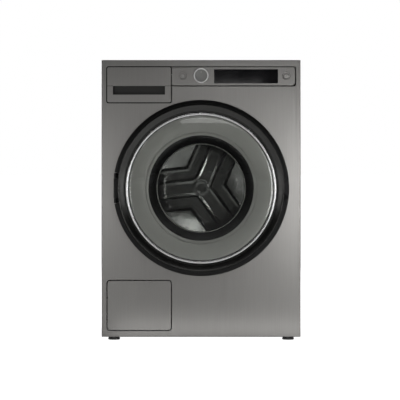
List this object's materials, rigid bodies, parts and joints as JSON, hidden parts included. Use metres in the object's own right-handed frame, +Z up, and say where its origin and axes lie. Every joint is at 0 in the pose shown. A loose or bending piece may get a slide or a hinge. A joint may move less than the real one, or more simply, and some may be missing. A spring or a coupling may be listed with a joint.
{
  "type": "front load washing machine",
  "caption": "Front-loading washing machine with round glass door, detergent drawer, knob, service hatch, sprung tub and belt-driven drum.",
  "frame": {"origin": "on the floor, in the middle of the machine's overall box", "axes": "+Z up; +X to the right seen from the front; +Y from the door to the rear panel"},
  "size_m": [0.6, 0.621, 0.845],
  "materials": {
    "graphite_steel": "vertically brushed, satin",
    "graphite_paint": "satin",
    "galvanised": "satin",
    "black_gloss": "gloss",
    "black_plastic": "fine texture",
    "dark_rim": "satin gloss",
    "chrome": "polished",
    "satin_trim": "satin",
    "smoked_glass": "polished",
    "clear_glass": "polished",
    "display_glass": "polished",
    "grey_rubber": "matt",
    "black_rubber": "matt",
    "tub_plastic": "moulded",
    "white_plastic": "moulded",
    "grey_plastic": "moulded",
    "stainless": "bright",
    "spring_steel": "oiled",
    "cast_aluminium": "cast",
    "concrete": "rough",
    "motor_paint": "satin"
  },
  "bodies": {
    "cabinet": {"base_tray": "grey_plastic", "left_side_panel": "graphite_paint", "right_side_panel": "graphite_paint", "rear_panel": "galvanised", "rear_screws": "spring_steel", "front_panel": "graphite_steel", "top_cover": "graphite_paint", "control_panel": "graphite_steel", "display_glass": "display_glass", "electronics_box": "grey_plastic", "dispenser_housing": "black_plastic", "inlet_valve": "white_plastic", "drain_outlet": "grey_plastic", "mains_inlet": "black_plastic", "door_surround": "dark_rim", "door_hinge": "motor_paint", "door_lock": "black_plastic", "door_gasket": "grey_rubber", "drain_pump": "white_plastic", "hatch_frame": "black_plastic", "damper_cylinders": "grey_plastic", "suspension_springs": "spring_steel", "dispenser_hose": "black_rubber", "sump_hose": "black_rubber"},
    "drawer": {"drawer_tray": "white_plastic", "drawer_front": "graphite_steel"},
    "knob": {"program_knob": "satin_trim", "knob_ring": "chrome"},
    "power_button": {"power_button": "satin_trim"},
    "start_button": {"start_button": "satin_trim"},
    "door": {"door_rim": "dark_rim", "door_chrome_ring": "chrome", "door_glass": "smoked_glass", "door_trim_plate": "satin_trim", "door_mask_ring": "black_gloss", "door_bowl": "clear_glass", "door_back_frame": "black_plastic"},
    "latch": {"latch_hook": "stainless"},
    "flap": {"service_flap": "graphite_steel"},
    "filter": {"pump_filter": "black_plastic"},
    "impeller": {"pump_impeller": "black_plastic"},
    "tub": {"tub_front": "tub_plastic", "tub_rear": "tub_plastic", "heating_element": "stainless", "front_counterweights": "concrete", "top_counterweight": "concrete", "motor": "motor_paint", "drive_belt": "black_rubber", "drum_bearings": "stainless", "damper_rods": "stainless"},
    "drum": {"drum_shell": "stainless", "drum_back": "stainless", "drum_paddles": "grey_plastic", "drum_spider": "cast_aluminium", "drum_pulley": "cast_aluminium"},
    "rotor": {"motor_pulley": "stainless"},
    "front_left_foot": {"front_left_foot": "black_rubber"},
    "rear_left_foot": {"rear_left_foot": "black_rubber"},
    "front_right_foot": {"front_right_foot": "black_rubber"},
    "rear_right_foot": {"rear_right_foot": "black_rubber"}
  },
  "joints": [
    {"name": "door_hinge", "type": "hinge", "parent": "cabinet", "child": "door", "pos_m": [-0.257, -0.2805, 0.459], "axis": [0, 0, -1], "range_deg": [0, 120]},
    {"name": "latch_turn", "type": "hinge", "parent": "door", "child": "latch", "pos_m": [0.213, -0.2805, 0.459], "axis": [0, 0, 1], "range_deg": [0, 12], "stiffness_Nm_per_rad": 0.5, "springref_deg": -11.46},
    {"name": "drawer_slide", "type": "slide", "parent": "cabinet", "child": "drawer", "axis": [0, -1, 0], "range_m": [0, 0.25]},
    {"name": "knob_turn", "type": "hinge", "parent": "cabinet", "child": "knob", "pos_m": [0, -0.2665, 0.7976], "axis": [0, 1, 0], "continuous": true},
    {"name": "power_press", "type": "slide", "parent": "cabinet", "child": "power_button", "axis": [0, 1, 0], "range_m": [0, 0.0015], "stiffness_N_per_m": 1500, "springref_m": -0.0006},
    {"name": "start_press", "type": "slide", "parent": "cabinet", "child": "start_button", "axis": [0, 1, 0], "range_m": [0, 0.0015], "stiffness_N_per_m": 1500, "springref_m": -0.0006},
    {"name": "flap_hinge", "type": "hinge", "parent": "cabinet", "child": "flap", "pos_m": [-0.2674, -0.26, 0.1053], "axis": [0, 0, -1], "range_deg": [0, 90]},
    {"name": "filter_turn", "type": "hinge", "parent": "cabinet", "child": "filter", "pos_m": [-0.187, -0.2465, 0.1], "axis": [0, -1, 0], "range_deg": [0, 90]},
    {"name": "impeller_spin", "type": "hinge", "parent": "cabinet", "child": "impeller", "pos_m": [-0.187, -0.1915, 0.1], "axis": [0, 1, 0], "continuous": true},
    {"name": "tub_bounce", "type": "slide", "parent": "cabinet", "child": "tub", "axis": [0, 0, 1], "range_m": [-0.012, 0.012], "stiffness_N_per_m": 20000, "springref_m": 0.01779, "deforming": ["suspension_springs", "dispenser_hose", "sump_hose", "door_gasket"]},
    {"name": "drum_spin", "type": "hinge", "parent": "tub", "child": "drum", "pos_m": [0, 0, 0.459], "axis": [0, 1, 0], "continuous": true},
    {"name": "rotor_spin", "type": "hinge", "parent": "tub", "child": "rotor", "pos_m": [0, 0.2, 0.135], "axis": [0, 1, 0], "continuous": true},
    {"name": "front_left_foot_height", "type": "slide", "parent": "cabinet", "child": "front_left_foot", "axis": [0, 0, 1], "range_m": [-0.015, 0]},
    {"name": "rear_left_foot_height", "type": "slide", "parent": "cabinet", "child": "rear_left_foot", "axis": [0, 0, 1], "range_m": [-0.015, 0]},
    {"name": "front_right_foot_height", "type": "slide", "parent": "cabinet", "child": "front_right_foot", "axis": [0, 0, 1], "range_m": [-0.015, 0]},
    {"name": "rear_right_foot_height", "type": "slide", "parent": "cabinet", "child": "rear_right_foot", "axis": [0, 0, 1], "range_m": [-0.015, 0]}
  ],
  "couplings": [
    {"joint": "rotor_spin", "follows": "drum_spin", "ratio": 13.182}
  ]
}
